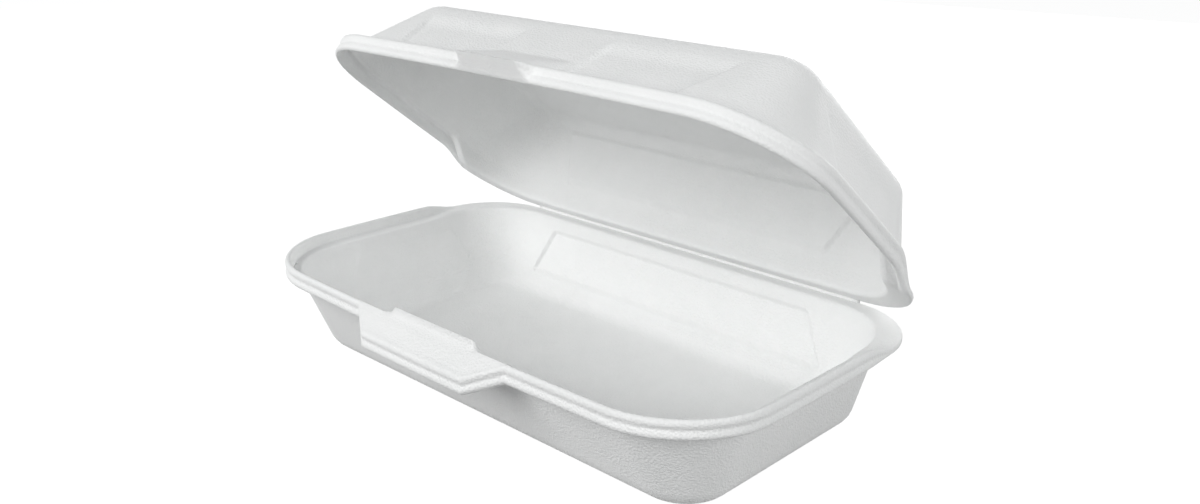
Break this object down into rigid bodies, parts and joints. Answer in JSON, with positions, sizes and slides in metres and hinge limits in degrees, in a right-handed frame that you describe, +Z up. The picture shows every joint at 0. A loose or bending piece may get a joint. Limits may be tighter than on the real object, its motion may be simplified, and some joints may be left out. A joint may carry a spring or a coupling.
{
  "type": "foam clamshell food container",
  "caption": "White foam takeaway box with a deep tray and a matching lid on a creased hinge, a rolled rim and a front closing tab, shown standing open.",
  "frame": {"origin": "under the middle of the tray's floor, on the table", "axes": "+Z up, +X along the box, the hinge at +Y and the closing tab at -Y"},
  "size_m": [0.24, 0.1653, 0.1401],
  "materials": {
    "foam": "matt white foamed polystyrene sheet"
  },
  "bodies": {
    "tray": {"tray": "foam"},
    "lid": {"lid": "foam"}
  },
  "joints": [
    {"name": "lid_hinge", "type": "hinge", "parent": "tray", "child": "lid", "pos_m": [0, 0.06525, 0.03865], "axis": [-1, 0, 0], "range_deg": [-38, 142]}
  ]
}
